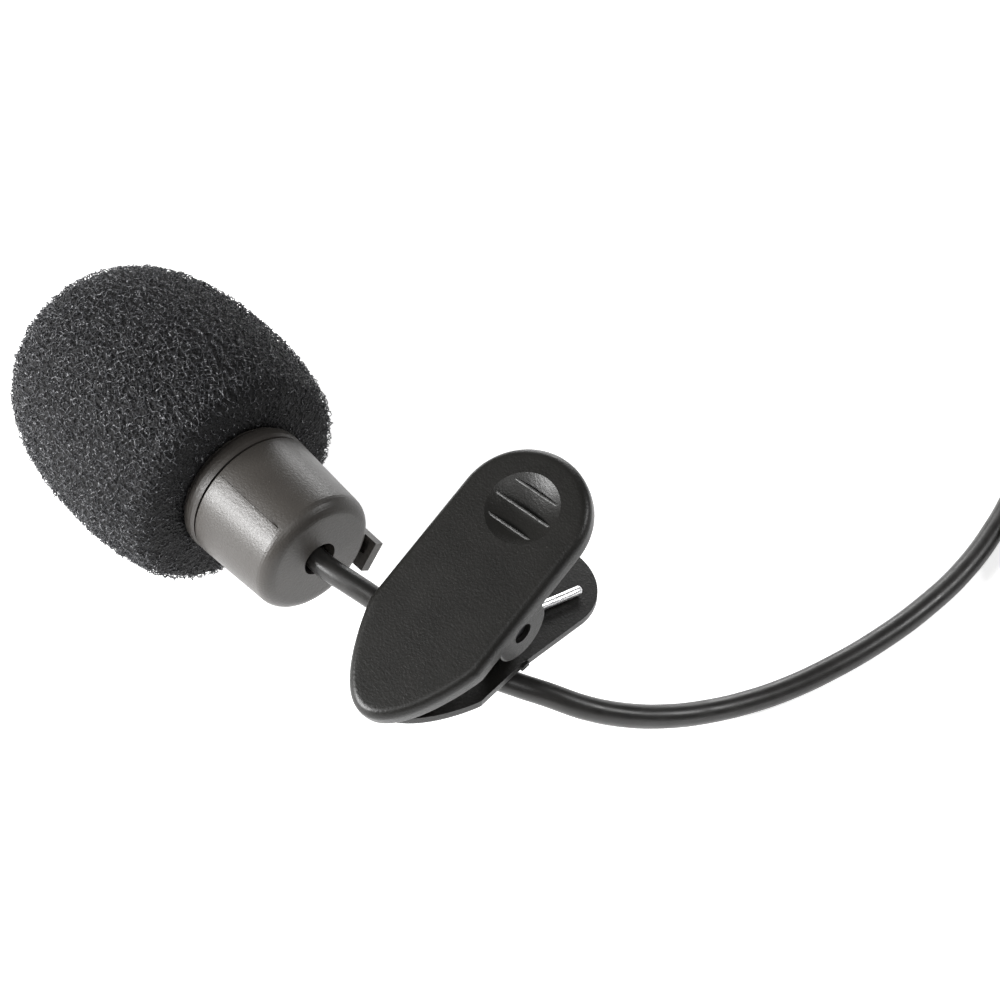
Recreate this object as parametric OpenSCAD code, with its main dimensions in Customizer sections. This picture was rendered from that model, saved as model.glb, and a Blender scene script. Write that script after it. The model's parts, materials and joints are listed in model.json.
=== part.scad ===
// Clip-on lavalier microphone with a foam windscreen, a spring clip and a 3.5 mm plug.
// The microphone lies along +X with its cable end at +X, and +Z is up from the table.
// The origin is under the middle of the microphone and its clip, on the table.

/* [Windscreen] */
// Radius of the foam at its fattest
foam_r = 12.7; // [11:0.1:15]
// Length of the foam ahead of its fattest section
foam_front = 18.4; // [15:0.1:22]
// Thickness of the foam's rear curve, as the semi-axis it belongs to
foam_back = 20.2; // [16:0.1:26]

/* [Microphone] */
// Outer radius of the housing at the seam
seam_r = 6.6; // [6.5:0.05:7]
// Outer radius of the housing at its cable end
rear_r = 6.15; // [5.9:0.05:6.4]
// Length of the rear shell
rear_len = 9.7; // [8:0.1:12]
// Radius of the cable hole
hole_r = 1.7; // [1.4:0.1:2.2]

/* [Capsule] */
// Radius of the electret capsule's can
can_r = 4.85; // [4.5:0.05:4.9]
// Length of the can
can_len = 6.7; // [5:0.1:7]

/* [Clip] */
// Width of both jaws
jaw_w = 12.4; // [12:0.1:14]
// Height of the top jaw's face above the hinge
face_h = 2.5; // [2.4:0.1:3]
// Depth of the lower jaw's underside below the hinge
under_h = 5.4; // [5:0.1:6]
// Slope of the top jaw when it is closed
top_pitch = 21; // [19:0.5:21]
// Radius of the thumb dimple
dimple_r = 3.35; // [2.5:0.05:4]
// Radius of the hinge pin
pin_r = 0.9; // [0.8:0.05:1.1]

/* [Cable and plug] */
// Radius of the cable
cord_r = 1.1; // [0.9:0.1:1.2]
// Radius of the plug's contacts
plug_r = 1.75; // [1.75]
// Radius of the plug's handle
handle_r = 3.75; // [3:0.25:4.5]

/* [Hidden] */

$fa = 4;
$fs = 0.15;
eps = 0.01;

// Where the seam of the microphone's housing stands
seam = [-1.2, -3.7, foam_r];

// Foam profile: a squarish front and a rounder back that meet at the fattest section
foam_fat = 10.35;
front_power = 2.75;
back_power = 1.76;
mouth = 2.0;
foam_bore_r = 6.4;
foam_bore_end = 11.2;
foam_edge_r = 2.0;

// Housing
front_len = 9.5;
collar_grip_r = 6.3;
shell_in_r = 5.5;
spigot_r = 5.45;
spigot_in_r = 4.95;
rear_wall = 1.4;
rear_fillet = 1.45;
rear_in_r = 4.9;
groove_w = 0.2;
slot_count = 6;
mould_turn = 210;

// Cable lug on the rear shell, turned below the horizontal on the clip's side
lug_turn = 38.5;
lug_in = 6.85;
lug_t = 1.0;
lug_pocket = 0.7;
lug_w = 3.1;
lug_from = 4.2;
lug_to = 9.8;

// Clip: the holder's bore runs along the straight stretch of the route
hold_a = [20.3, -0.4, 10];
hold_b = [25.0, 0.15, 10];
clip_turn = atan2(hold_b.y - hold_a.y, hold_b.x - hold_a.x);
hold_mid = (hold_a + hold_b) / 2;
hold_in = [-0.5, -1.5, -7.0];
hinge = hold_mid - [
    hold_in.x * cos(clip_turn) - hold_in.y * sin(clip_turn),
    hold_in.x * sin(clip_turn) + hold_in.y * cos(clip_turn),
    hold_in.z
];
half_w = jaw_w / 2;
tail_y = 7.95;
nose_start = -5.3;
nose_y = -13.65;
nose_power = 1.11;
rim_low = 0.46;
plate_t = 1.2;
rim_t = 1.1;
edge_r = 0.9;
ear_r = 2.9;
ear_t = 1.2;
ear_hole_r = pin_r + 0.07;
dimple_y = 8.4;
dimple_deep = 0.7;
rib_gap = 1.9;
rib_w = 0.22;
low_t = 1.2;
low_tail_pitch = -12.7;
low_tail_y = 9.2;
low_nose_y = -11.9;
low_edge_r = 0.6;
post_x = 3.75;
post_t = 1.1;
post_r = 1.7;
pocket_r = 1.85;
hold_r = cord_r + 0.06;
hold_out_r = 1.9;
hold_len = 2.6;
hold_top = 1.52;

// Spring
wire_r = 0.4;
spring_r = pin_r + 0.06 + wire_r;
half_turns = 2.25;
spring_start = wire_r + 0.02;
spring_end = 2.35;
slot_high = 1.8;
lower_leg = [[2.45, 0.8, -1.6], [2.8, 5.2, -4.8], [2.95, 6.0, -5.1], [3.9, 10.3, -6.1]];
upper_leg = [[-2.45, 0.8, 1.36], [-3.0, 9.0, 1.36]];

// Cable route from the housing to the coil, and from the coil to the plug
route = [
    [7.15, -3.8, 12.7], [8.5, -3.85, 12.6], [10.2, -3.6, 12.4], [12.0, -3.1, 12.05],
    [13.7, -2.5, 11.5], [15.4, -1.9, 10.85], [17.0, -1.25, 10.3], [18.6, -0.75, 10.05],
    [20.3, -0.4, 10.0], [22.65, -0.125, 10.0], [25.0, 0.15, 10.0], [27.0, 0.7, 9.9],
    [28.8, 1.7, 9.6], [31.0, 3.3, 8.9], [33.6, 5.6, 7.4], [35.6, 8.5, 5.6],
    [37.3, 12.0, 3.8], [38.8, 15.8, 2.4], [40.2, 19.8, 1.5], [41.5, 24.0, 1.1],
    [42.7, 29.0, 1.1], [43.5, 34.5, 1.1], [43.8, 40.5, 1.1], [43.4, 47.0, 1.1],
    [42.0, 53.5, 1.1], [40.3, 59.0, 1.2], [39.4, 63.4, 1.5]
];
end_route = [
    [78.6, 65.4, 3.8], [78.1, 61.2, 3.6], [77.0, 57.2, 3.4], [76.2, 53.4, 3.5],
    [76.0, 49.4, 3.75]
];

// Coil of the spare cable: two layers of turns a cable's width apart
coil_at = [59.0, 67.3];
coil_mid_r = 13.0;
coil_across = 7;
coil_low = 0.5;
coil_out_r = coil_mid_r + coil_across * cord_r;
coil_in_r = coil_mid_r - coil_across * cord_r;
coil_high = coil_low + 4 * cord_r;
tie_turn = 40;
tie_t = 0.4;
tie_w = 4;
tie_ease = 0.45;

// Plug, from the cable's end towards the tip along -Y
plug_at = [76.0, 49.4, handle_r];
relief_len = 7;
handle_len = 14;
sleeve_len = 7.5;
gap_len = 0.6;
ring_len = 2.1;
tip_len = 3.2;

// ---------- helpers ----------

// Stands children on the microphone's axis, +Z towards the cable
module on_mic() {
    translate(seam) rotate([0, 90, 0]) children();
}

// Stands children at the hinge, +Y towards the clip's tail
module on_clip() {
    translate(hinge) rotate([0, 0, clip_turn]) children();
}

module on_top_jaw() {
    on_clip() rotate([top_pitch, 0, 0]) children();
}

// Stands children on the plug's axis, +Z towards the tip, a distance from the cable's end
module on_plug(along = 0) {
    translate(plug_at) rotate([90, 0, 0]) translate([0, 0, along]) children();
}

module tube(r_out, r_in, from, to) {
    translate([0, 0, from]) difference() {
        cylinder(r = r_out, h = to - from);
        translate([0, 0, -eps]) cylinder(r = r_in, h = to - from + 2 * eps);
    }
}

module disc(r, from, to) {
    translate([0, 0, from]) cylinder(r = r, h = to - from);
}

module along_x(r, from, to) {
    translate([from, 0, 0]) rotate([0, 90, 0]) cylinder(r = r, h = to - from);
}

function unit(v) = v / norm(v);
function tangent(p, i) = unit(p[min(i + 1, len(p) - 1)] - p[max(i - 1, 0)]);
function square_to(n, t) = unit(n - (n * t) * t);

// Normals carried along a path without twist
function normals(p) = [
    for (i = 0, n = square_to([0.1, 0.2, 1], tangent(p, 0)); i < len(p);
         i = i + 1, n = square_to(n, tangent(p, min(i, len(p) - 1)))) n
];

// One closed tube swept along a path
module sweep(p, r, sides = 8) {
    n = normals(p);
    rings = [
        for (i = [0:len(p) - 1])
            let (a = n[i], b = cross(tangent(p, i), n[i]))
                for (k = [0:sides - 1]) p[i] + r * (cos(k * 360 / sides) * a + sin(k * 360 / sides) * b)
    ];
    last = (len(p) - 1) * sides;
    walls = [
        for (i = [0:len(p) - 2], k = [0:sides - 1])
            let (j = (k + 1) % sides)
                [i * sides + k, (i + 1) * sides + k, (i + 1) * sides + j, i * sides + j]
    ];
    polyhedron(
        rings,
        concat(walls, [[for (k = [0:sides - 1]) k], [for (k = [sides - 1:-1:0]) last + k]]),
        convexity = 6
    );
}

// Half-width of the ogive nose, where t runs from 0 at its start to 1 at its tip
function nose_half(w, t) = w * sqrt(max(0, 1 - pow(t, nose_power)));

// Bullet outline of a jaw, drawn in by an inset: round tail, straight sides, ogive nose
function jaw_points(tail, nose, inset) =
    let (w = half_w - inset, reach = nose + inset - nose_start)
        concat(
            [for (a = [0:7.5:180]) [w * cos(a), tail + w * sin(a)]],
            [for (a = [0:6:90]) [-nose_half(w, sin(a)), nose_start + reach * sin(a)]],
            [for (a = [84:-6:0]) [nose_half(w, sin(a)), nose_start + reach * sin(a)]]
        );

// Slab of a jaw with a rounded top edge
module rounded_slab(tail, nose, low, high, r, slim = 0) {
    levels = concat([[low, 0]], [for (a = [0:22.5:90]) [high - r + r * sin(a), r * (1 - cos(a))]]);
    n = len(jaw_points(tail, nose, 0));
    points = [for (level = levels, p = jaw_points(tail, nose, slim + level[1])) [p.x, p.y, level[0]]];
    walls = [
        for (i = [0:len(levels) - 2], k = [0:n - 1])
            let (j = (k + 1) % n, a = i * n + k, b = i * n + j)
                each [[a, a + n, b + n], [a, b + n, b]]
    ];
    last = (len(levels) - 1) * n;
    polyhedron(points, concat(walls, [[for (k = [0:n - 1]) k], [for (k = [n - 1:-1:0]) last + k]]));
}

// ---------- windscreen and housing ----------

function foam_half(x) = x < 0
    ? foam_r * pow(max(0, 1 - pow(-x / foam_front, front_power)), 1 / front_power)
    : foam_r * pow(1 - pow(x / foam_back, back_power), 1 / back_power);

module foam_windscreen() {
    rear = foam_fat - mouth - foam_edge_r;
    front_curve = [for (a = [0:4:88]) let (x = -foam_front * cos(a)) [foam_half(x), x - foam_fat]];
    back_curve = [for (k = [0:10]) let (x = rear * k / 10) [foam_half(x), x - foam_fat]];
    color("#26272a") on_mic() rotate_extrude() polygon(concat(
        [[0, -foam_bore_end], [0, -foam_fat - foam_front]],
        [for (p = front_curve) if (p.x > eps) p],
        back_curve,
        [for (a = [15:15:90]) [foam_half(rear) + foam_edge_r * (cos(a) - 1), -mouth - foam_edge_r * (1 - sin(a))]],
        [[foam_bore_r, -mouth], [foam_bore_r, -foam_bore_end + 1], [foam_bore_r - 1, -foam_bore_end]]
    ));
}

module front_shell() {
    color("#4a4845") on_mic() difference() {
        rotate_extrude() polygon(concat(
            [[0, -front_len], [collar_grip_r - 1, -front_len]],
            [for (a = [15:15:90]) [collar_grip_r - 1 + sin(a), 1 - front_len - cos(a)]],
            [[collar_grip_r, 0.05 - mouth], [seam_r, 0.5 - mouth], [seam_r + 0.06, -1], [seam_r + 0.04, -0.6]],
            [[seam_r - 0.08, -groove_w], [shell_in_r, -groove_w]],
            [[shell_in_r, 0.8 - front_len], [0, 0.8 - front_len]]
        ));
        for (k = [0:slot_count - 1]) rotate([0, 0, k * 360 / slot_count])
            translate([1.2, -0.45, -front_len - 1]) cube([3.2, 0.9, 2.5]);
        translate([0, 0, -front_len - 1]) cylinder(r = 0.6, h = 2.5);
    }
}

// Tab that stands off the shell's side
module lug() {
    rotate([0, 0, 90 - lug_turn]) {
        translate([lug_in, -lug_w / 2, lug_from]) cube([lug_t, lug_w, lug_to - lug_from]);
        translate([seam_r - 0.7, -lug_w / 2, lug_from]) cube([lug_in - seam_r + 0.8, lug_w, 2]);
    }
}

module rear_shell() {
    color("#45433f") on_mic() difference() {
        union() {
            rotate_extrude() polygon(concat(
                [[shell_in_r - 0.6, 0], [seam_r - 0.1, 0], [seam_r, 0.12]],
                [for (a = [0:10:90]) [
                    rear_r - rear_fillet + rear_fillet * cos(a),
                    rear_len - rear_fillet + rear_fillet * sin(a)
                ]],
                [[0, rear_len + 0.12], [0, 1], [shell_in_r - 0.6, 1]]
            ));
            disc(spigot_r, -1.9, 1);
            mould_line();
            lug();
        }
        disc(spigot_in_r, -3, 1.2);
        disc(rear_in_r, 1.1, rear_len - rear_wall);
        disc(hole_r, rear_len - rear_wall - 1, rear_len + 1);
        lug_window();
    }
}

// Raised line left by the mould, facing up and to the side away from the clip
module mould_line() {
    rotate([0, 0, mould_turn]) hull() {
        translate([seam_r - 0.3, -0.1, 0.2]) cube([0.34, 0.2, 0.1]);
        translate([rear_r - 0.35, -0.1, rear_len - rear_fillet - 0.1]) cube([0.39, 0.2, 0.1]);
    }
}

// Square pocket in the tab's inner face
module lug_window() {
    rotate([0, 0, 90 - lug_turn]) translate([lug_in - 0.3, -0.15, 7.9]) cube([lug_pocket + 0.3, 1.3, 1.2]);
}

// ---------- capsule ----------

module screen_disc() {
    color("#8d8f92") on_mic() difference() {
        disc(5.4, -8.68, -8.5);
        for (ring = [0:3], k = [0:max(1, ring * 6) - 1])
            rotate([0, 0, k * 360 / max(1, ring * 6)]) translate([ring * 1.25, 0, -9])
                cylinder(r = 0.35, h = 1);
    }
}

module felt_disc() {
    color("#202022") on_mic() disc(4.6, -8.48, -8.1);
}

can_front = -8.05;

module electret_can() {
    color("#c9cbce") on_mic() difference() {
        disc(can_r, can_front, can_front + can_len);
        disc(can_r - 0.3, can_front + 0.3, can_front + can_len - 0.25);
        disc(can_r - 0.7, can_front + 1, can_front + can_len + 1);
        for (k = [0:5]) rotate([0, 0, k * 60]) translate([1.6, 0, can_front - 1]) cylinder(r = 0.4, h = 2);
        translate([0, 0, can_front - 1]) cylinder(r = 0.4, h = 2);
    }
}

module capsule_boot() {
    color("#1c1c1d") on_mic() tube(shell_in_r - 0.02, can_r + 0.01, can_front, can_front + can_len - 0.75);
}

module diaphragm_ring() {
    color("#c8a24a") on_mic() tube(4.5, 3.8, -7.7, -7.2);
}

module diaphragm() {
    color("#d8d0b0") on_mic() disc(4.5, -7.2, -7.15);
}

module spacer_ring() {
    color("#e6e3d8") on_mic() tube(4.5, 3.9, -7.15, -7.0);
}

module back_plate() {
    color("#c8a24a") on_mic() difference() {
        disc(4.1, -7.0, -6.4);
        for (k = [0:5]) rotate([0, 0, k * 60]) translate([2.4, 0, -8]) cylinder(r = 0.35, h = 3);
    }
}

module insulator_cup() {
    color("#e9e9e4") on_mic() difference() {
        disc(4.5, -6.98, -2.72);
        disc(4.12, -7.5, -6.38);
        disc(3.6, -6.5, -2);
    }
}

module transistor() {
    color("#17171a") on_mic() {
        translate([-0.8, -1.3, -3.9]) cube([1.6, 2.6, 1.0]);
        translate([-0.2, -0.8, -6.38]) cube([0.4, 0.3, 2.5]);
    }
}

board_back = -1.72;

module capsule_board() {
    color("#2f6b3c") on_mic() disc(4.5, -2.7, board_back);
}

pad_y = 1.6;

module solder_joints() {
    color("#d5d7da") on_mic() for (side = [-1, 1]) translate([0, side * pad_y, board_back]) intersection() {
        sphere(r = 0.8);
        cylinder(r = 1, h = 1);
    }
}

module wire(side) {
    end_y = side * 0.45;
    sweep([
        [0, side * pad_y, board_back + 0.75], [0, side * pad_y, -0.2], [0, side * 1.4, 0.6],
        [0, side * 1.0, 1.6], [0, side * 0.6, 2.6], [0, end_y, 3.6]
    ], 0.3);
}

module signal_wire() {
    color("#b5332b") on_mic() wire(1);
}

module ground_wire() {
    color("#b8843c") on_mic() wire(-1);
}

module cable_tail() {
    color("#1d1d1e") on_mic() difference() {
        disc(cord_r, 3.6, 8.3);
        disc(cord_r - 0.3, 3.5, 3.7);
    }
}

module cable_stop() {
    color("#b9bbbe") on_mic() difference() {
        disc(2.3, 5.0, 7.0);
        disc(cord_r + 0.01, 4, 8);
        translate([-0.25, 1.9, 4]) cube([0.5, 2, 8]);
    }
}

// ---------- cable, coil and plug ----------

module cable() {
    color("#1d1d1e") sweep(route, cord_r);
}

module cable_end() {
    color("#1d1d1e") sweep(end_route, cord_r);
}

module cable_coil() {
    soft = cord_r;
    color("#1d1d1e") translate([coil_at.x, coil_at.y, 0]) rotate_extrude()
        translate([coil_in_r, coil_low]) polygon([
            for (c = [[0, 0, 180], [1, 0, 270], [1, 1, 0], [0, 1, 90]], a = [0:15:90]) [
                soft + c[0] * (coil_out_r - coil_in_r - 2 * soft) + soft * cos(c[2] + a),
                soft + c[1] * (coil_high - coil_low - 2 * soft) + soft * sin(c[2] + a)
            ]
        ]);
}

module coil_tie() {
    gap = 0.06;
    across = coil_out_r - coil_in_r;
    up = coil_high - coil_low;
    color("#3a3a3c") translate([coil_at.x, coil_at.y, coil_low]) rotate([0, 0, tie_turn])
        translate([coil_in_r, 0, 0]) difference() {
            translate([-tie_ease - tie_t, -tie_w / 2, -gap - tie_t])
                cube([across + tie_ease + gap + 2 * tie_t, tie_w, up + 2 * (gap + tie_t)]);
            translate([-tie_ease, -tie_w, -gap]) cube([across + tie_ease + gap, 2 * tie_w, up + 2 * gap]);
        }
}

module plug_relief() {
    color("#1d1d1e") on_plug() difference() {
        cylinder(r1 = cord_r + 0.5, r2 = 2.6, h = relief_len);
        for (k = [0:2]) translate([0, 0, 1.4 + 1.8 * k]) tube(4, 1.25 + 0.1 * k, 0, 0.6);
    }
}

module plug_handle() {
    color("#222224") on_plug(relief_len) {
        cylinder(r1 = handle_r - 0.5, r2 = handle_r, h = 1);
        disc(handle_r, 1, handle_len - 2);
        translate([0, 0, handle_len - 2]) cylinder(r1 = handle_r, r2 = 3.0, h = 1.2);
        disc(3.0, handle_len - 0.8, handle_len);
    }
}

contact_from = relief_len + handle_len;

module plug_sleeve() {
    color("#cfd1d3") on_plug(contact_from) {
        disc(2.4, 0, 0.8);
        disc(plug_r, 0.8, sleeve_len);
    }
}

module plug_insulators() {
    color("#18181a") on_plug(contact_from + sleeve_len) {
        disc(plug_r, 0, gap_len);
        disc(plug_r, gap_len + ring_len, 2 * gap_len + ring_len);
    }
}

module plug_ring() {
    color("#cfd1d3") on_plug(contact_from + sleeve_len + gap_len) disc(plug_r, 0, ring_len);
}

module plug_tip() {
    color("#cfd1d3") on_plug(contact_from + sleeve_len + 2 * gap_len + ring_len) {
        cylinder(r1 = plug_r - 0.15, r2 = 1.15, h = 0.7);
        translate([0, 0, 0.7]) cylinder(r1 = 1.15, r2 = plug_r - 0.05, h = 0.8);
        translate([0, 0, 1.5]) cylinder(r1 = plug_r - 0.05, r2 = 0.5, h = tip_len - 1.5);
    }
}

// ---------- clip ----------

module dimple() {
    ball_r = (dimple_r * dimple_r + dimple_deep * dimple_deep) / (2 * dimple_deep);
    difference() {
        intersection() {
            translate([0, dimple_y, face_h + ball_r - dimple_deep]) sphere(r = ball_r, $fa = 2);
            translate([0, dimple_y, face_h - 1]) cylinder(r = dimple_r + 1, h = 2);
        }
        for (k = [-1:1]) translate([-4, dimple_y + k * rib_gap - rib_w / 2, face_h - 2])
            cube([8, rib_w, 1.85]);
    }
}

module top_jaw() {
    color("#3a3a38") on_top_jaw() difference() {
        union() {
            difference() {
                rounded_slab(tail_y, nose_y, rim_low, face_h, edge_r);
                translate([0, 0, rim_low - 1]) linear_extrude(face_h - plate_t - rim_low + 1)
                    polygon(jaw_points(tail_y, nose_y, rim_t));
            }
            for (side = [-1, 1]) translate([side * (half_w - ear_t / 2) - ear_t / 2, 0, 0]) {
                intersection() {
                    along_x(ear_r, 0, ear_t);
                    translate([-1, -ear_r - 1, -ear_r - 1]) cube([ear_t + 2, 2 * ear_r + 2, ear_r + 1]);
                }
                translate([0, 0.05 - ear_r, -eps]) cube([ear_t, 2 * ear_r - 0.1, rim_low + 0.4]);
            }
        }
        along_x(pocket_r, -half_w + ear_t, half_w - ear_t);
        along_x(ear_hole_r, -half_w - 1, half_w + 1);
        // Groove that seats the spring's leg
        translate([-3.5, 0, rim_low]) cube([1.65, 9.6, slot_high - rim_low]);
        dimple();
    }
}

// Half of the lower jaw, turned about the line under the hinge
module low_half(pitch, tail, nose, keep_from, slim = 0) {
    rotate([pitch, 0, 0]) intersection() {
        mirror([0, 0, 1])
            rounded_slab(tail, nose, under_h - low_t, under_h, low_edge_r, slim);
        translate([-20, keep_from, -20]) cube(40);
    }
}

module lower_jaw() {
    color("#383836") on_clip() difference() {
        union() {
            low_half(0, tail_y, low_nose_y, -40 + 0.2);
            low_half(low_tail_pitch, low_tail_y, low_nose_y, -0.6, 0.02);
            for (side = [-1, 1]) translate([side * (post_x + post_t / 2) - post_t / 2, 0, 0]) {
                along_x(post_r, 0, post_t);
                translate([0, -post_r, low_t - under_h - 0.2]) cube([post_t, 2 * post_r, under_h - low_t + 0.2]);
            }
            // Rough stub left where the moulding was cut from its runner
            translate([half_w - 0.3, -0.3, -5.0]) cube([0.55, 0.9, 0.5]);
            for (k = [0:2]) translate([-3, low_nose_y + 2.2 + 1.1 * k, -4.6]) cube([6, 0.4, 0.7 + 0.25 * k]);
        }
        along_x(pin_r, -half_w, half_w);
        rotate([low_tail_pitch, 0, 0]) translate([4.2, 6.4, low_t - under_h - 0.4]) cube([0.9, 1.3, 1]);
    }
}

module cable_holder() {
    color("#383836") on_clip() translate([hold_in.x, hold_in.y, hold_in.z]) difference() {
        union() {
            along_x(hold_out_r, -hold_len / 2, hold_len / 2);
            translate([-hold_len / 2, -1.1, 0]) cube([hold_len, 2.2, hold_out_r]);
        }
        along_x(hold_r, -hold_len, hold_len);
        translate([-hold_len, -3, hold_top]) cube([2 * hold_len, 6, 2]);
    }
}

module hinge_pin() {
    color("#2a2a2c") on_clip() along_x(pin_r, 0.5 - half_w, half_w - 0.5);
}

// Half of the torsion spring: its turns start in the middle and end under or over the pin
function half_coil(side, end_angle) = [
    for (k = [0:12 * half_turns])
        let (t = k / (12 * half_turns), a = end_angle - side * 360 * half_turns * (1 - t)) [
        side * (spring_start + (spring_end - spring_start) * t), spring_r * cos(a), spring_r * sin(a)
    ]
];

module spring_lower() {
    color("#d5d8dc") on_clip() sweep(concat(half_coil(1, -90), lower_leg), wire_r);
}

module spring_upper() {
    color("#d5d8dc") on_top_jaw() sweep(concat(half_coil(-1, 90), upper_leg), wire_r);
}

foam_windscreen();
front_shell();
rear_shell();
screen_disc();
felt_disc();
capsule_boot();
electret_can();
diaphragm_ring();
diaphragm();
spacer_ring();
back_plate();
insulator_cup();
transistor();
capsule_board();
solder_joints();
signal_wire();
ground_wire();
cable_stop();
cable_tail();
cable();
cable_coil();
coil_tie();
cable_end();
plug_relief();
plug_handle();
plug_sleeve();
plug_insulators();
plug_ring();
plug_tip();
top_jaw();
lower_jaw();
cable_holder();
hinge_pin();
spring_lower();
spring_upper();
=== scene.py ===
import json
import math
import random

import bpy
import numpy as np
from mathutils import Matrix, Vector
from mathutils.kdtree import KDTree


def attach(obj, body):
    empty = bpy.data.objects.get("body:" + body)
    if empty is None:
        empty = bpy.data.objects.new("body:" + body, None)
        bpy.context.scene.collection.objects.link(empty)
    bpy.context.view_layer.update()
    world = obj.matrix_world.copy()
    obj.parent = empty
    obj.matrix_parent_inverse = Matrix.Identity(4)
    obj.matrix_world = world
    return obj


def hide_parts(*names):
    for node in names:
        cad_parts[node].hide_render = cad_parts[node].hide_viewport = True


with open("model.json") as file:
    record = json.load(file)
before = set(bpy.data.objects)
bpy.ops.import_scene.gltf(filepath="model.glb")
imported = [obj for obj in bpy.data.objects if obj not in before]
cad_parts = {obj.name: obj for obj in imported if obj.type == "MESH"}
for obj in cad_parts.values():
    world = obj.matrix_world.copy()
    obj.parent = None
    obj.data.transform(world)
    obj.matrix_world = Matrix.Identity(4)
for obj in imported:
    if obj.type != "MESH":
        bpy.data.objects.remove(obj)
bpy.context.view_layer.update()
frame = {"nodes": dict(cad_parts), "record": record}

MM = 0.001
random.seed(7)
rng = np.random.default_rng(7)

# Sizes in millimetres, as in the CAD source
SEAM = Vector((-1.2, -3.7, 12.7))
FOAM_R = 12.7
FOAM_FRONT = 18.4
FOAM_BACK = 20.2
FOAM_FAT = 10.35
FOAM_MOUTH = 2.0
FOAM_EDGE = 2.0
FOAM_BORE = 6.4
FOAM_BORE_DEEP = 11.2
FRONT_POWER = 2.75
BACK_POWER = 1.76
CORD_R = 1.1
HINGE = Vector((22.972, 1.423, 17.0))
CLIP_TURN = math.radians(6.6745)


# ---------- camera and light ----------

CAMERA_AT = Vector((101.96, -65.85, 153.21)) * MM
CAMERA_AIM = Vector((6.288, 20.022, 0)) * MM
LENS = 72
SENSOR = 36

# Place and size in metres, power in watts
SOFTBOXES = {
    "key": ((-0.21, -0.48, 0.27), (0.3, 0.2), 10.0),
    "card": ((-0.36, 0.44, 0.16), (0.3, 0.2), 1.8),
    "back": ((0.26, 0.30, 0.30), (0.1, 0.06), 0.9),
    "overhead": ((0.25, -0.3, 0.6), (0.25, 0.25), 1.3),
}
LIGHT_AIM = Vector((0.01, 0, 0.012))
ROOM_GLOW = 0.1


def turn_to(place, aim):
    """Rotation that points a camera or a light from its place at an aim."""
    return (aim - place).to_track_quat("-Z", "Y").to_euler()


def add_camera():
    data = bpy.data.cameras.new("camera")
    data.lens = LENS
    data.sensor_width = SENSOR
    data.clip_start = 0.01
    camera = bpy.data.objects.new("camera", data)
    camera.location = CAMERA_AT
    camera.rotation_euler = turn_to(CAMERA_AT, CAMERA_AIM)
    bpy.context.scene.collection.objects.link(camera)
    bpy.context.scene.camera = camera


def add_softbox(name, place, size, watts):
    """A rectangular area light that faces the microphone."""
    data = bpy.data.lights.new(name, "AREA")
    data.shape = "RECTANGLE"
    data.size, data.size_y = size
    data.energy = watts
    light = bpy.data.objects.new(name, data)
    light.location = place
    light.rotation_euler = turn_to(light.location, LIGHT_AIM)
    bpy.context.scene.collection.objects.link(light)


def add_studio():
    for name, (place, size, watts) in SOFTBOXES.items():
        add_softbox(name, place, size, watts)
    world = bpy.data.worlds.new("studio")
    world.use_nodes = True
    background = world.node_tree.nodes["Background"]
    background.inputs["Color"].default_value = (1, 1, 1, 1)
    background.inputs["Strength"].default_value = ROOM_GLOW
    bpy.context.scene.world = world
    bpy.context.scene.view_settings.view_transform = "Standard"


# ---------- materials ----------

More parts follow.
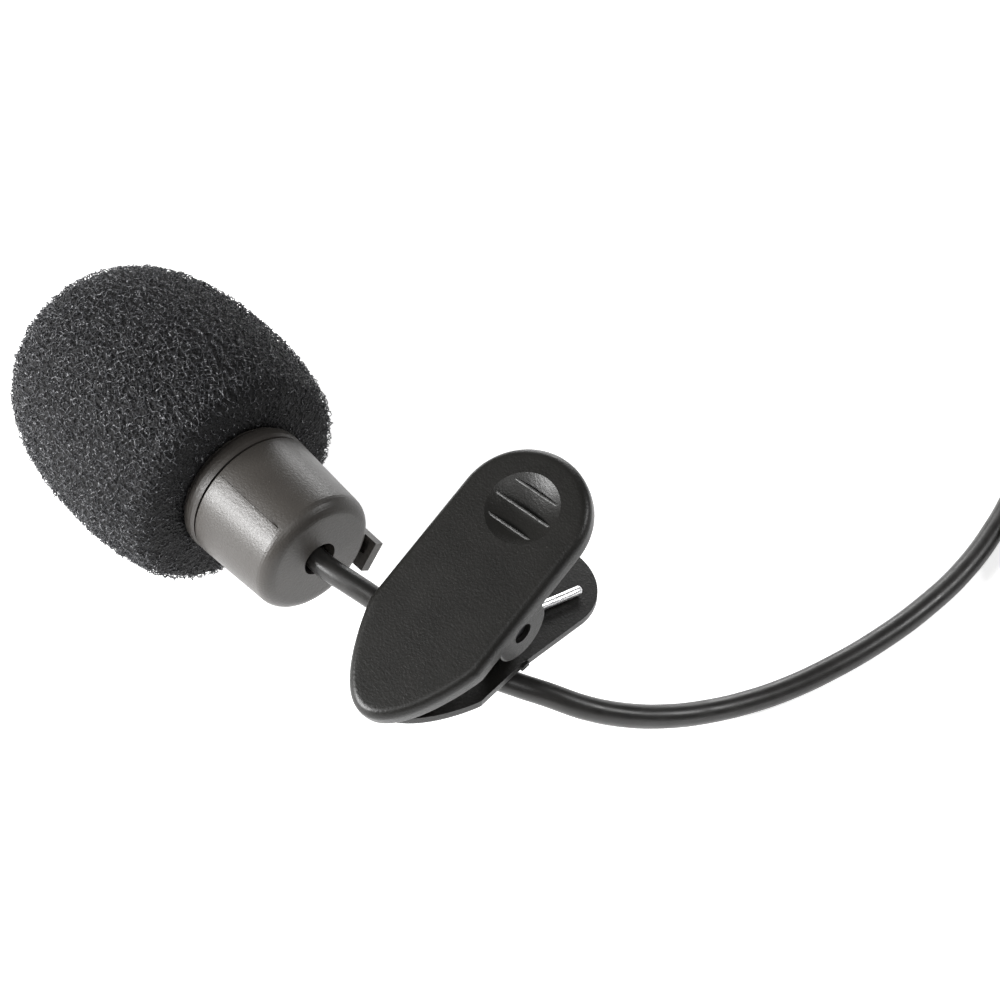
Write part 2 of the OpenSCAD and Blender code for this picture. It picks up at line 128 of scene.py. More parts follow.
class Look:
    """A principled material with helpers for procedural detail in the object's own space."""

    def __init__(self, name, rough=0.5, metal=0.0, specular=0.5, coat=0.0, sheen=0.0):
        self.material = bpy.data.materials.new(name)
        self.material.use_nodes = True
        self.nodes = self.material.node_tree.nodes
        self.links = self.material.node_tree.links
        self.shader = self.nodes["Principled BSDF"]
        self.shader.inputs["Roughness"].default_value = rough
        self.shader.inputs["Metallic"].default_value = metal
        self.shader.inputs["Specular IOR Level"].default_value = specular
        self.shader.inputs["Coat Weight"].default_value = coat
        self.shader.inputs["Sheen Weight"].default_value = sheen
        self.place = self.nodes.new("ShaderNodeTexCoord").outputs["Object"]
        self.normal = None

    def stretch(self, x, y, z):
        """Object coordinates scaled along each axis, for grain that runs one way."""
        mapping = self.nodes.new("ShaderNodeMapping")
        mapping.inputs["Scale"].default_value = (x, y, z)
        self.links.new(self.place, mapping.inputs["Vector"])
        return mapping.outputs["Vector"]

    def noise(self, per_metre, detail=3, roughness=0.55, place=None):
        node = self.nodes.new("ShaderNodeTexNoise")
        node.inputs["Scale"].default_value = per_metre
        node.inputs["Detail"].default_value = detail
        node.inputs["Roughness"].default_value = roughness
        self.links.new(place or self.place, node.inputs["Vector"])
        return node.outputs["Fac"]

    def cells(self, per_metre):
        node = self.nodes.new("ShaderNodeTexVoronoi")
        node.inputs["Scale"].default_value = per_metre
        self.links.new(self.place, node.inputs["Vector"])
        return node.outputs["Distance"]

    def ramp(self, value, stops):
        """Maps a value through (position, colour) stops, where a grey has one number."""
        node = self.nodes.new("ShaderNodeValToRGB")
        while len(node.color_ramp.elements) < len(stops):
            node.color_ramp.elements.new(0.5)
        for element, (position, colour) in zip(node.color_ramp.elements, stops):
            element.position = position
            element.color = (*colour, 1) if len(colour) == 3 else (colour[0],) * 3 + (1,)
        self.links.new(value, node.inputs["Fac"])
        return node.outputs["Color"]

    def mix(self, amount, first, second):
        node = self.nodes.new("ShaderNodeMix")
        node.data_type = "RGBA"
        self.links.new(amount, node.inputs["Factor"])
        self.links.new(first, node.inputs["A"])
        self.links.new(second, node.inputs["B"])
        return node.outputs["Result"]

    def colour(self, value):
        self.links.new(value, self.shader.inputs["Base Color"])

    def roughness(self, value):
        self.links.new(value, self.shader.inputs["Roughness"])

    def bump(self, height, depth):
        """Adds relief of a depth in metres."""
        node = self.nodes.new("ShaderNodeBump")
        node.inputs["Distance"].default_value = depth
        self.links.new(height, node.inputs["Height"])
        if self.normal:
            self.links.new(self.normal, node.inputs["Normal"])
        self.normal = node.outputs["Normal"]
        self.links.new(self.normal, self.shader.inputs["Normal"])


def moulded(name, dark, light, rough, grain=6500, depth=1.4e-5, specular=0.4):
    """Moulded plastic: fine spark-eroded grain, faint clouding and a few specks of dust."""
    look = Look(name, specular=specular)
    cloud = look.ramp(look.noise(260, 4), [(0.3, dark), (0.7, light)])
    dust = look.ramp(look.noise(3100, 2), [(0.76, (0,)), (0.8, (1,))])
    palest, less_pale = (tuple(times * c for c in light) for times in (4, 3))
    pale = look.ramp(look.noise(900), [(0.0, palest), (1.0, less_pale)])
    look.colour(look.mix(dust, cloud, pale))
    look.roughness(look.ramp(look.noise(4000, 3), [(0.3, (rough - 0.02,)), (0.7, (rough + 0.03,))]))
    look.bump(look.noise(grain, 2, 0.7), depth)
    look.bump(look.noise(420, 2), 1.5e-6)
    return look.material


def rubbery(name, dark, light, rough):
    """Soft jacket or boot: fine drawn grain and rubbed, slightly shinier patches."""
    look = Look(name, specular=0.45)
    look.colour(look.ramp(look.noise(700, 4), [(0.3, dark), (0.75, light)]))
    look.roughness(look.ramp(look.noise(500, 4), [(0.3, (rough - 0.07,)), (0.7, (rough + 0.08,))]))
    look.bump(look.noise(5200, 3, 0.7), 8e-6)
    look.bump(look.noise(900, 2), 6e-6)
    return look.material


def metal(name, dark, light, rough, along=(1, 1, 1), grain=5e-6):
    """Bare or plated metal, its grain drawn out along the axes that have a small scale."""
    look = Look(name, metal=1.0)
    streak = look.noise(2600, 4, place=look.stretch(*along))
    look.colour(look.ramp(look.noise(900, 4), [(0.25, dark), (0.75, light)]))
    look.roughness(look.ramp(streak, [(0.3, (rough * 0.7,)), (0.75, (rough * 1.4,))]))
    look.bump(streak, grain)
    return look.material


def woven(name, dark, light):
    """Felt or hook-and-loop tape: a fuzzy nap with sheen."""
    look = Look(name, rough=0.9, sheen=0.5)
    nap = look.noise(5200, 5, 0.7)
    look.colour(look.ramp(nap, [(0.3, dark), (0.75, light)]))
    look.bump(nap, 8e-5)
    look.bump(look.cells(2200), 6e-5)
    return look.material


def foam_core_look():
    """Depths of the foam: charcoal darkened to nearly black by painted shade in the pores, between dull
    cell walls.
    """
    look = Look("foam_depths", rough=0.75, specular=0.3)
    pores = look.cells(3300)
    # Painted shade: nearly black at each cell's middle, in the pore's hollow, and a little lighter towards
    # the cell walls.
    look.colour(look.ramp(pores, [(0.1, (0.001, 0.001, 0.001)), (0.8, (0.009, 0.009, 0.01))]))
    look.bump(pores, 2.5e-4)
    look.bump(look.noise(7000, 3), 6e-5)
    return look.material


def foam_cell_look():
    """Struts of the foam: charcoal polymer with a slight gloss; its paler patches are partly random tone
    and partly painted glints.
    """
    look = Look("foam_struts", specular=0.3)
    tone_and_painted_glints = look.noise(3800, 3, 0.7)
    # Painted glints: the palest stop lifts some struts far above charcoal and stands in for their
    # highlights; the lower stops are random tone.
    look.colour(look.ramp(tone_and_painted_glints, [
        (0.4, (0.004, 0.004, 0.005)),
        (0.56, (0.038, 0.039, 0.043)),
        (0.68, (0.33, 0.33, 0.34)),
    ]))
    look.roughness(look.ramp(look.noise(3000, 2), [(0.3, (0.25,)), (0.7, (0.6,))]))
    look.bump(look.noise(9000, 2), 1e-5)
    return look.material


def board_look():
    """Solder mask over a faint weave of glass cloth."""
    look = Look("board", rough=0.35, coat=0.3)
    look.colour(look.ramp(look.cells(1500), [(0.1, (0.03, 0.13, 0.05)), (0.7, (0.06, 0.24, 0.1))]))
    look.bump(look.cells(2600), 1e-5)
    return look.material


# The coarse spark-eroded grain on the housing and the clip: bumps per metre and their depth in metres
COARSE_GRAIN = 4400
COARSE_DEPTH = 3e-5

LOOKS = {
    "foam": foam_core_look(),
    "shell_plastic": moulded(
        "shell_plastic", (0.028, 0.0252, 0.0224), (0.036, 0.0325, 0.029), 0.4,
        COARSE_GRAIN, COARSE_DEPTH, specular=0.4,
    ),
    "clip_plastic": moulded(
        "clip_plastic", (0.006, 0.0058, 0.0052), (0.0088, 0.0085, 0.0077), 0.38,
        COARSE_GRAIN, COARSE_DEPTH, specular=0.28,
    ),
    "black_plastic": moulded("black_plastic", (0.014, 0.014, 0.015), (0.024, 0.024, 0.026), 0.4),
    "white_plastic": moulded("white_plastic", (0.68, 0.67, 0.62), (0.78, 0.77, 0.72), 0.45),
    "rubber": rubbery("rubber", (0.014, 0.014, 0.014), (0.028, 0.027, 0.027), 0.55),
    "cable_jacket": rubbery("cable_jacket", (0.009, 0.0085, 0.008), (0.017, 0.016, 0.015), 0.38),
    "felt": woven("felt", (0.01, 0.01, 0.011), (0.05, 0.05, 0.055)),
    "film": moulded("film", (0.55, 0.5, 0.36), (0.72, 0.68, 0.5), 0.3),
    "board": board_look(),
    "tie": woven("tie", (0.012, 0.012, 0.014), (0.06, 0.06, 0.066)),
    "red_wire": rubbery("red_wire", (0.4, 0.03, 0.025), (0.6, 0.06, 0.045), 0.4),
    "copper_wire": metal("copper_wire", (0.66, 0.36, 0.18), (0.8, 0.47, 0.27), 0.35),
    "solder": metal("solder", (0.62, 0.62, 0.64), (0.8, 0.8, 0.82), 0.3),
    "aluminium": metal("aluminium", (0.7, 0.71, 0.72), (0.84, 0.85, 0.86), 0.35, (0.1, 1, 1)),
    "brass": metal("brass", (0.66, 0.5, 0.2), (0.8, 0.63, 0.3), 0.3),
    "steel": metal("steel", (0.5, 0.5, 0.52), (0.66, 0.66, 0.68), 0.35),
    "dark_steel": metal("dark_steel", (0.03, 0.03, 0.032), (0.07, 0.07, 0.074), 0.45),
    "spring_steel": metal(
        "spring_steel", (0.82, 0.82, 0.83), (0.94, 0.94, 0.95), 0.38, along=(1, 0.06, 0.3), grain=1e-6,
    ),
    "plug_metal": metal("plug_metal", (0.7, 0.7, 0.72), (0.86, 0.86, 0.88), 0.16, (0.05, 3, 0.05)),
}


def paint_cad_nodes():
    for part in frame["record"]["subparts"]:
        shown = frame["nodes"][part["node"]].data.materials
        shown.clear()
        shown.append(LOOKS[part["material_slot"]])


# ---------- mesh helpers ----------

def add_piece(name, data, body, slot, *stands_for):
    """Links a piece, rides it on its body and hides the CAD nodes that it stands for."""
    piece = bpy.data.objects.new(name, data)
    bpy.context.scene.collection.objects.link(piece)
    if not data.materials:
        data.materials.append(LOOKS[slot])
    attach(piece, body)
    if stands_for:
        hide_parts(*stands_for)
    return piece


def mesh_of(name, points, faces):
    data = bpy.data.meshes.new(name)
    data.from_pydata([tuple(p) for p in points], [], [tuple(f) for f in faces])
    data.validate()
    data.shade_smooth()
    return data


def shell_of_rings(rings):
    """A closed mesh through rings of equally many points, with flat ends."""
    count = len(rings[0])
    points = [p for ring in rings for p in ring]
    faces = []
    for i in range(len(rings) - 1):
        for k in range(count):
            j = (k + 1) % count
            faces.append((i * count + k, i * count + j, (i + 1) * count + j, (i + 1) * count + k))
    faces.append(tuple(range(count))[::-1])
    faces.append(tuple(range((len(rings) - 1) * count, len(rings) * count)))
    return points, faces


# ---------- cable ----------

ROUTE = [
    (7.15, -3.8, 12.7), (8.5, -3.85, 12.6), (10.2, -3.6, 12.4), (12.0, -3.1, 12.05),
    (13.7, -2.5, 11.5), (15.4, -1.9, 10.85), (17.0, -1.25, 10.3), (18.6, -0.75, 10.05),
    (20.3, -0.4, 10.0), (22.65, -0.125, 10.0), (25.0, 0.15, 10.0), (27.0, 0.7, 9.9),
    (28.8, 1.7, 9.6), (31.0, 3.3, 8.9), (33.6, 5.6, 7.4), (35.6, 8.5, 5.6),
    (37.3, 12.0, 3.8), (38.8, 15.8, 2.4), (40.2, 19.8, 1.5), (41.5, 24.0, 1.1),
    (42.7, 29.0, 1.1), (43.5, 34.5, 1.1), (43.8, 40.5, 1.1), (43.4, 47.0, 1.1),
    (42.0, 53.5, 1.1), (40.3, 59.0, 1.2), (39.4, 63.4, 1.5),
]
END_ROUTE = [
    (78.6, 65.4, 3.8), (78.1, 61.2, 3.6), (77.0, 57.2, 3.4), (76.2, 53.4, 3.5), (76.0, 49.4, 3.75),
]
COIL_AT = (59.0, 67.3)
COIL_OUTER = 19.6
COIL_INNER = 6.4
COIL_LAYERS = (1.6, 3.8)
LAYER_TURNS = 6

# Points in each turn of a coil
STEPS = 16


def coil_points():
    """Clockwise turns: inwards on the lower layer, a climb in the middle, outwards on the upper one."""
    low, high = COIL_LAYERS
    total = LAYER_TURNS * STEPS
    half = STEPS // 2
    stations = [(COIL_OUTER + (COIL_INNER - COIL_OUTER) * k / total, low) for k in range(total)]
    stations += [(COIL_INNER, low + (high - low) * k / half) for k in range(half)]
    stations += [(COIL_INNER + (COIL_OUTER - COIL_INNER) * k / total, high) for k in range(total + 1)]
    centre_x, centre_y = COIL_AT
    turns = []
    for k, (radius, height) in enumerate(stations):
        angle = math.pi - 2 * math.pi * k / STEPS
        turns.append((centre_x + radius * math.cos(angle), centre_y + radius * math.sin(angle), height))
    return turns


def smooth_curve(name, points, radius, steps=6):
    """A round tube along one smooth spline, in metres."""
    data = bpy.data.curves.new(name, "CURVE")
    data.dimensions = "3D"
    data.bevel_depth = radius
    data.bevel_resolution = 5
    data.resolution_u = steps
    data.use_fill_caps = True
    spline = data.splines.new("BEZIER")
    spline.bezier_points.add(len(points) - 1)
    for knot, point in zip(spline.bezier_points, points):
        knot.co = point
        knot.handle_left_type = knot.handle_right_type = "AUTO"
    return data


def add_cable():
    """The whole cable as one tube, from the housing through the clip and the coil to the plug."""
    points = [Vector(p) * MM for p in ROUTE + coil_points() + END_ROUTE]
    data = smooth_curve("cable_lead", points, CORD_R * MM)
    cable = add_piece("cable_lead", data, "microphone", "cable_jacket", "cable", "cable_coil", "cable_end")


# ---------- windscreen ----------

def foam_half(x):
    """Radius of the foam at a distance past its fattest section, towards the cable."""
    if x < 0:
        return FOAM_R * max(0.0, 1 - (-x / FOAM_FRONT) ** FRONT_POWER) ** (1 / FRONT_POWER)
    return FOAM_R * (1 - (x / FOAM_BACK) ** BACK_POWER) ** (1 / BACK_POWER)


def foam_profile():
    """Outline from the front pole to the mouth, as (distance along the axis from the seam, radius)."""
    rear = FOAM_FAT - FOAM_MOUTH - FOAM_EDGE
    front = [-FOAM_FRONT * math.cos(math.radians(a)) for a in np.linspace(0, 88, 60)]
    curve = [(x - FOAM_FAT, foam_half(x)) for x in front]
    curve += [(x - FOAM_FAT, foam_half(x)) for x in np.linspace(0.3, rear, 24)]
    for a in np.linspace(0.15, math.pi / 2, 8):
        along = -FOAM_MOUTH - FOAM_EDGE * (1 - math.sin(a))
        curve.append((along, foam_half(rear) + FOAM_EDGE * (math.cos(a) - 1)))
    curve.append((-FOAM_MOUTH, FOAM_BORE + 1.2))
    curve.append((-FOAM_MOUTH - 0.05, FOAM_BORE + 0.25))
    return np.array(curve)


def spread_over(profile, count, jitter):
    """Points in an even spiral over the surface that a profile sweeps, with their outward normals."""
    step = np.diff(profile, axis=0)
    area = np.hypot(step[:, 0], step[:, 1]) * (profile[1:, 1] + profile[:-1, 1])
    reach = np.concatenate([[0], np.cumsum(area)]) / area.sum()
    at = (np.arange(count) + 0.5 + rng.uniform(-jitter, jitter, count) * 3) / count
    at = np.clip(at, 0, 1)
    x = np.interp(at, reach, profile[:, 0])
    r = np.interp(at, reach, profile[:, 1])
    slope = np.gradient(profile, axis=0)
    out_x = np.interp(at, reach, -slope[:, 1])
    out_r = np.interp(at, reach, slope[:, 0])
    size = np.hypot(out_x, out_r)
    golden_angle = math.pi * (3 - math.sqrt(5))
    turn = np.arange(count) * golden_angle + rng.uniform(-jitter, jitter, count) / np.maximum(r, 1)
    points = np.stack([x, r * np.cos(turn), r * np.sin(turn)], 1) + np.array(SEAM)
    normals = np.stack([out_x, out_r * np.cos(turn), out_r * np.sin(turn)], 1) / size[:, None]
    return points, normals


def add_foam_core():
    """The body of the foam, a little inside its outline and dimpled by its pores."""
    profile = foam_profile()
    inset = 0.42
    tiny = 0.02
    dimpling = 0.035
    around = 220
    skin = [(x, max(r - inset * (0.4 + 0.6 * (r > 1)), tiny)) for x, r in profile]
    skin[0] = (profile[0][0] + inset, tiny)
    bore_r = FOAM_BORE + 0.02
    bore = [(-FOAM_MOUTH - 0.6, bore_r), (-FOAM_BORE_DEEP, bore_r), (-FOAM_BORE_DEEP, tiny)]
    angles = [2 * math.pi * k / around for k in range(around)]
    rings = [
        [(SEAM.x + x, SEAM.y + r * math.cos(a), SEAM.z + r * math.sin(a)) for a in angles]
        for x, r in skin + bore
    ]
    points, faces = shell_of_rings(rings)
    points = np.array(points)
    skin_points = len(skin) * around
    points[:skin_points] += rng.normal(0, dimpling, (skin_points, 3))
    data = mesh_of("foam_core", points * MM, faces)
    core = add_piece("foam_core", data, "windscreen", "foam", "foam_windscreen")


def strut_network(count, depth, bulge):
    """Ends and middles of the thin struts between neighbouring points of the foam's surface."""
    reach = 0.85
    share = 0.62
    neighbours = 3
    points, normals = spread_over(foam_profile(), count, 0.24)
    points = points + normals * rng.uniform(-0.2, 0.12, (count, 1)) - normals * depth
    tree = KDTree(count)
    for i, p in enumerate(points):
        tree.insert(p, i)
    tree.balance()
    pairs = set()
    for i, p in enumerate(points):
        for _, j, gap in tree.find_n(p, neighbours + 1)[1:]:
            if gap < reach and random.random() < share:
                pairs.add((min(i, j), max(i, j)))
    pairs = np.array(sorted(pairs))
    a, b = points[pairs[:, 0]], points[pairs[:, 1]]
    lift = normals[pairs[:, 0]] * rng.uniform(-0.6, 1.0, (len(pairs), 1)) * bulge
    return a, (a + b) / 2 + lift, b


def strut_mesh(name, a, middle, b, end_r, waist_r):
    """Three-sided struts, thick where they join and thin in the middle."""
    count = len(a)
    along = b - a
    along /= np.linalg.norm(along, axis=1)[:, None]
    side = np.cross(along, rng.normal(size=(count, 3)))
    side /= np.linalg.norm(side, axis=1)[:, None]
    other = np.cross(along, side)
    rings = []
    for centre, radius in ((a, end_r), (middle, waist_r), (b, end_r)):
        for k in range(3):
            turn = 2 * math.pi * k / 3
            rings.append(centre + radius * (math.cos(turn) * side + math.sin(turn) * other))
    points = np.stack(rings, 1).reshape(-1, 3)
    quads = []
    for ring in (0, 3):
        for k in range(3):
            j = (k + 1) % 3
            quads.append((ring + k, ring + j, ring + 3 + j, ring + 3 + k))
    faces = (np.arange(count)[:, None, None] * 9 + np.array(quads)[None]).reshape(-1, 4)
    return mesh_of(name, points * MM, faces.tolist())


def add_foam_cells():
    """The open cells that show on the foam: an outer and a deeper net of struts."""
    outer = strut_network(13000, depth=0.02, bulge=0.26)
    inner = strut_network(12000, depth=0.26, bulge=0.14)
    nets = [np.concatenate(both) for both in zip(outer, inner)]
    data = strut_mesh("foam_cells", *nets, end_r=0.058, waist_r=0.034)
    data.materials.append(foam_cell_look())
    add_piece("foam_cells", data, "windscreen", "foam")


# ---------- clip ----------

# Sizes from the hinge: X along the pin, Y towards the tail, Z up
HALF_W = 6.2
TAIL_Y = 7.95
NOSE_START = -5.3
NOSE_Y = -13.65
NOSE_POWER = 1.11
FACE_H = 2.5
PLATE_T = 1.2
RIM_LOW = 0.46
RIM_T = 1.1
EDGE_R = 0.9
EAR_R = 2.9
EAR_T = 1.2
EAR_HOLE_R = 0.97
POCKET_R = 1.85
DIMPLE_R = 3.35
DIMPLE_Y = 8.4
DIMPLE_DEEP = 0.7
RIB_GAP = 1.9
RIB_SECTION = [(-0.18, -0.75), (-0.15, -0.21), (-0.06, -0.15), (0.05, -0.13), (0.1, -0.2), (0.13, -0.75)]
UNDER_H = 5.4
LOW_T = 1.2
LOW_TAIL_Y = 8.0
LOW_NOSE_Y = -11.9
LOW_SLOPE = 0.2254
KINK_Y = -0.5
POST_R = 1.7
POST_IN = 3.2
POST_OUT = 4.3
TOOTH_GAP = 1.1
TOOTH_HALF = 3
TOOTH_T = 0.4
TOOTH_RISE = 0.25
SHARP_ANGLE = math.radians(14)
TOP_PITCH = math.radians(21)
CLIP_PLACE = Matrix.Translation(HINGE) @ Matrix.Rotation(CLIP_TURN, 4, "Z")
LEVER_PLACE = CLIP_PLACE @ Matrix.Rotation(TOP_PITCH, 4, "X")


def jaw_outline(tail, nose, inset):
    """Bullet outline drawn in by an inset: round tail, straight sides, ogive nose."""
    w = HALF_W - inset
    reach = nose + inset - NOSE_START
    shares = [math.sin(math.radians(a)) for a in np.linspace(0, 90, 31)]
    side = [(-w * math.sqrt(max(0, 1 - t ** NOSE_POWER)), NOSE_START + reach * t) for t in shares]
    turn = [(w * math.cos(a), tail + w * math.sin(a)) for a in np.linspace(0, math.pi, 49)]
    straight = [(-w, y) for y in np.linspace(tail, NOSE_START, 14)[1:-1]]
    back = [(-x, y) for x, y in side[-2::-1]]
    return turn + straight + side + back + [(-x, y) for x, y in straight[::-1]]


def revolve(profile, around):
    """A closed solid from (height, radius) pairs turned about Z."""
    angles = [2 * math.pi * k / around for k in range(around)]
    return shell_of_rings([[(r * math.cos(a), r * math.sin(a), z) for a in angles] for z, r in profile])


def rounded(low, high, radius):
    """(inset, height) stations up a side, over its rounded top edge and a little way in."""
    steps = 11
    flat = 0.35
    stations = [(0, low)]
    for k in range(steps + 1):
        a = math.pi / 2 * k / steps
        stations.append((radius * (1 - math.cos(a)), high - radius + radius * math.sin(a)))
    return stations + [(radius + flat, high)]


def carve(points, faces, cuts, joins):
    """Applies boolean cuts and joins to a mesh and returns the new points and faces."""
    base = bpy.data.objects.new("work", mesh_of("work", points, faces))
    bpy.context.scene.collection.objects.link(base)
    helpers = []
    for operation, shapes in (("UNION", joins), ("DIFFERENCE", cuts)):
        for shape in shapes:
            tool = bpy.data.objects.new("tool", mesh_of("tool", *shape))
            bpy.context.scene.collection.objects.link(tool)
            change = base.modifiers.new("carve", "BOOLEAN")
            change.operation = operation
            change.solver = "EXACT"
            change.object = tool
            helpers.append(tool)
    bpy.context.view_layer.update()
    done = bpy.data.meshes.new_from_object(base.evaluated_get(bpy.context.evaluated_depsgraph_get()))
    points = [tuple(v.co) for v in done.vertices]
    faces = [tuple(p.vertices) for p in done.polygons]
    for helper in helpers + [base]:
        bpy.data.objects.remove(helper)
    return points, faces


def turned(shape, matrix):
    """A shape moved and turned by a matrix."""
    points, faces = shape
    return [tuple(matrix @ Vector(p)) for p in points], faces


def moulding(name, shape, place):
    """A mesh in metres at its place, smooth but for its sharp edges."""
    points, faces = turned(shape, place)
    data = mesh_of(name, [Vector(p) * MM for p in points], faces)
    data.set_sharp_from_angle(angle=SHARP_ANGLE)
    return data


def joined(*shapes):
    """Several shapes as one, without merging them where they overlap."""
    points, faces = [], []
    for more_points, more_faces in shapes:
        faces += [tuple(i + len(points) for i in f) for f in more_faces]
        points += list(more_points)
    return points, faces


def block(low, high):
    """A box between two opposite corners."""
    (x0, y0, z0), (x1, y1, z1) = low, high
    ring = [(x0, y0), (x1, y0), (x1, y1), (x0, y1)]
    return shell_of_rings([[(x, y, z0) for x, y in ring], [(x, y, z1) for x, y in ring]])


def ear(side):
    """Half-round ear below the lever's rim, with an eased outer edge."""
    arc = [(EAR_R * math.cos(a), EAR_R * math.sin(a)) for a in np.linspace(-math.pi, 0, 41)]
    root = RIM_LOW + 0.4
    outline = arc + [(EAR_R, root), (-EAR_R, root)]
    rings = []
    for along, ease in ((0, 0), (EAR_T - 0.28, 0), (EAR_T - 0.1, 0.05), (EAR_T - 0.01, 0.22)):
        x = side * (HALF_W - EAR_T + along)
        rings.append([(x, y * (1 - ease / EAR_R), z * (1 - ease / EAR_R)) for y, z in outline])
    return shell_of_rings(rings if side > 0 else rings[::-1])


def dimple():
    """Lens that the thumb dimple is cut with."""
    ball = (DIMPLE_R ** 2 + DIMPLE_DEEP ** 2) / (2 * DIMPLE_DEEP)
    widest = math.asin(DIMPLE_R / ball)
    angles = np.linspace(0.004, widest, 12)
    profile = [(ball - DIMPLE_DEEP - ball * math.cos(a), ball * math.sin(a)) for a in angles]
    profile.append((0.5, DIMPLE_R + 0.02))
    return turned(revolve(profile, 120), Matrix.Translation((0, DIMPLE_Y, FACE_H)))


def rib(offset):
    """Low rounded bar across the dimple."""
    reach = math.sqrt(DIMPLE_R ** 2 - offset ** 2) - 0.12
    rings = [[(x, y, z) for y, z in RIB_SECTION] for x in np.linspace(-reach, reach, 12)]
    return turned(shell_of_rings(rings), Matrix.Translation((0, DIMPLE_Y + offset, FACE_H)))


def x_cylinder(radius, low, high):
    """A cylinder along X, for the pin's holes."""
    return turned(revolve([(low, radius), (high, radius)], 64), Matrix.Rotation(math.pi / 2, 4, "Y"))


def add_top_jaw():
    """Upper jaw: a hollow lever with a rim, ears, a thumb dimple with ribs and a groove for the spring."""
    stations = [
        (RIM_T, FACE_H - PLATE_T), (RIM_T, RIM_LOW + 0.2), (RIM_T - 0.1, RIM_LOW + 0.02),
        (0.16, RIM_LOW), (0.03, RIM_LOW + 0.14),
    ]
    stations += rounded(RIM_LOW + 0.5, FACE_H, EDGE_R)
    rings = [[(x, y, z) for x, y in jaw_outline(TAIL_Y, NOSE_Y, inset)] for inset, z in stations]
    between_ears = HALF_W - EAR_T
    coil_room = x_cylinder(POCKET_R, -between_ears, between_ears)
    pin_hole = x_cylinder(EAR_HOLE_R, -8, 8)
    leg_groove = block((-3.5, 0, 0.9), (-1.85, 9.6, 1.8))
    shape = carve(
        *shell_of_rings(rings),
        cuts=[dimple(), coil_room, pin_hole, leg_groove],
        joins=[ear(1), ear(-1)],
    )
    shape = joined(shape, *[rib(k * RIB_GAP) for k in (-1, 0, 1)])
    data = moulding("lever_moulding", shape, LEVER_PLACE)
    add_piece("lever_moulding", data, "clip_lever", "clip_plastic", "top_jaw")


def add_lower_jaw():
    """Lower jaw: a slab whose tail slopes away, with hinge posts, teeth and the stub of its runner."""
    rings = []
    for inset, depth in rounded(UNDER_H - LOW_T, UNDER_H, 0.6):
        rings.append([(x, y, -depth) for x, y in jaw_outline(LOW_TAIL_Y, LOW_NOSE_Y, inset)][::-1])
    points, faces = shell_of_rings(rings)
    points = [(x, y, z - LOW_SLOPE * max(0.0, y - KINK_Y)) for x, y, z in points]
    top = LOW_T - UNDER_H
    arc = [(POST_R * math.cos(a), POST_R * math.sin(a)) for a in np.linspace(0, math.pi, 25)]
    section = arc + [(-POST_R, top - 0.3), (POST_R, top - 0.3)]
    posts = []
    for side in (-1, 1):
        ends = sorted((side * POST_IN, side * POST_OUT))
        posts.append(shell_of_rings([[(x, y, z) for y, z in section] for x in ends]))
    teeth = []
    for k in range(3):
        front = LOW_NOSE_Y + 2.2 + TOOTH_GAP * k
        crest = top + 0.3 + TOOTH_RISE * k
        teeth.append(block((-TOOTH_HALF, front, top - 0.4), (TOOTH_HALF, front + TOOTH_T, crest)))
    stub = block((HALF_W - 0.3, -0.3, -5.0), (HALF_W + 0.24, 0.6, -4.5))
    shape = joined((points, faces), *posts, *teeth, stub)
    data = moulding("base_moulding", shape, CLIP_PLACE)
    add_piece("base_moulding", data, "clip_base", "clip_plastic", "lower_jaw")


# The spring, with its legs' points from the hinge of the jaw that each one presses on
WIRE_R = 0.44
SPRING_R = 1.36
HALF_TURNS = 2.25
SPRING_START = 0.42
SPRING_END = 2.35
LOWER_LEG = [(2.45, 0.8, -1.6), (2.8, 5.2, -4.8), (2.95, 6.0, -5.1), (3.9, 10.3, -6.1)]
UPPER_LEG = [(-2.45, 0.8, 1.36), (-3.0, 9.0, 1.36)]

# How the wire's cut end tapers: millimetres past the leg's last point, and the share of the wire's radius
TIP_TAPER = [(0.14, 0.8), (0.24, 0.35)]


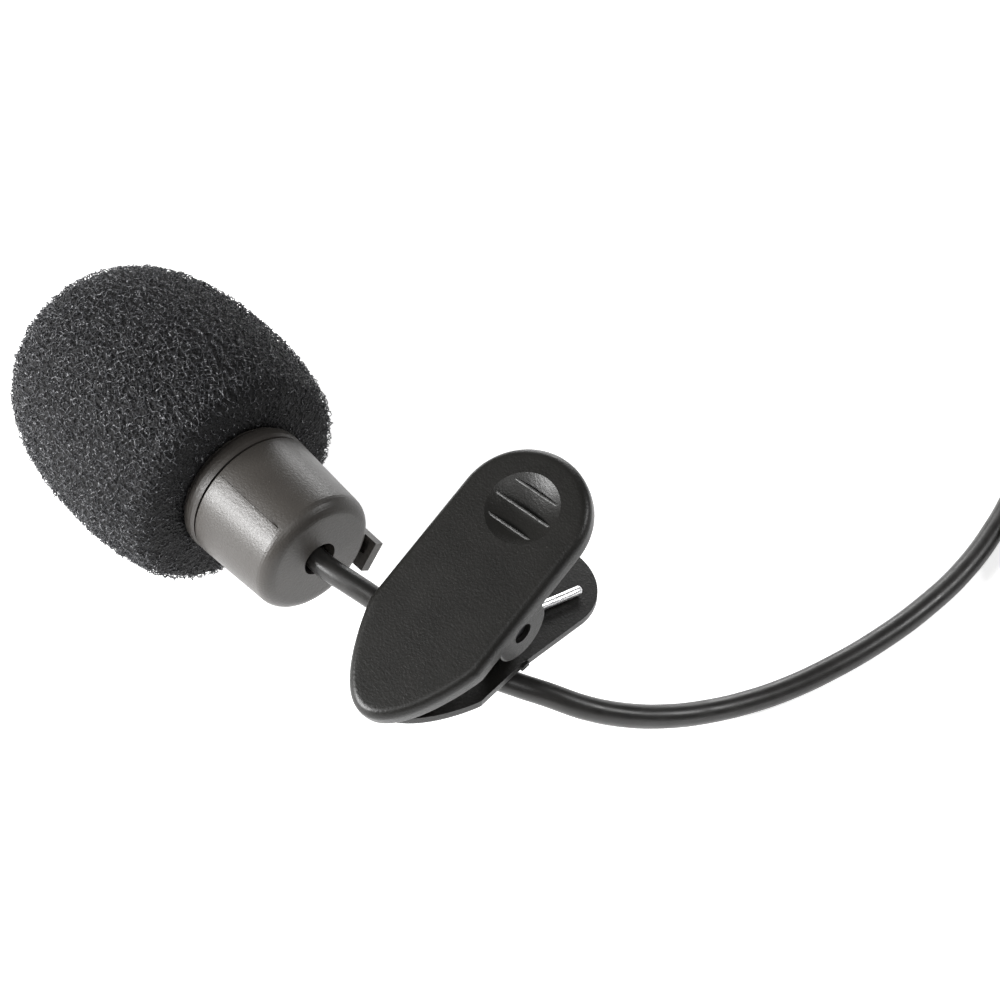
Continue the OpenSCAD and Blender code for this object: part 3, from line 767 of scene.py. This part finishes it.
def half_coil(side, end_angle):
    """Turns of one half of the spring, from the middle outwards."""
    steps = int(STEPS * HALF_TURNS)
    turns = []
    for k in range(steps + 1):
        t = k / steps
        a = math.radians(end_angle - side * 360 * HALF_TURNS * (1 - t))
        out = side * (SPRING_START + (SPRING_END - SPRING_START) * t)
        turns.append((out, SPRING_R * math.cos(a), SPRING_R * math.sin(a)))
    return turns


def add_spring():
    """The torsion spring as two halves, each riding with the jaw that its leg presses on."""
    halves = (
        ("spring_wire_low", 1, -90, LOWER_LEG, CLIP_PLACE, "clip_base", "spring_lower"),
        ("spring_wire_high", -1, 90, UPPER_LEG, LEVER_PLACE, "clip_lever", "spring_upper"),
    )
    for name, side, end_angle, leg, place, body, node in halves:
        points = [place @ Vector(p) * MM for p in half_coil(side, end_angle) + leg]
        data = smooth_curve(name, points, WIRE_R * MM, 4)
        knots = data.splines[0].bezier_points
        direction = (points[-1] - points[-2]).normalized()
        knots.add(len(TIP_TAPER))
        for knot, (ahead, share) in zip(knots[-len(TIP_TAPER):], TIP_TAPER):
            knot.co = points[-1] + direction * ahead * MM
            knot.radius = share
            knot.handle_left_type = knot.handle_right_type = "VECTOR"
        add_piece(name, data, body, "spring_steel", node)


# ---------- floor ----------

FLOOR_HALF = 1.5
FLOOR_GLOW = 0.62


def add_floor():
    """A plain white floor that glows a little, so that its shadows stay faint."""
    corners = [(x * FLOOR_HALF, y * FLOOR_HALF, 0) for x, y in ((-1, -1), (1, -1), (1, 1), (-1, 1))]
    data = bpy.data.meshes.new("floor")
    data.from_pydata(corners, [], [(0, 1, 2, 3)])
    look = Look("floor", rough=0.6)
    look.colour(look.ramp(look.noise(30), [(0.3, (0.9, 0.9, 0.9)), (0.7, (0.93, 0.93, 0.93))]))
    look.shader.inputs["Emission Color"].default_value = (1, 1, 1, 1)
    look.shader.inputs["Emission Strength"].default_value = FLOOR_GLOW
    data.materials.append(look.material)
    floor = bpy.data.objects.new("floor", data)
    bpy.context.scene.collection.objects.link(floor)


add_camera()
add_studio()
add_floor()
paint_cad_nodes()
add_cable()
add_foam_core()
add_foam_cells()
add_top_jaw()
add_lower_jaw()
add_spring()
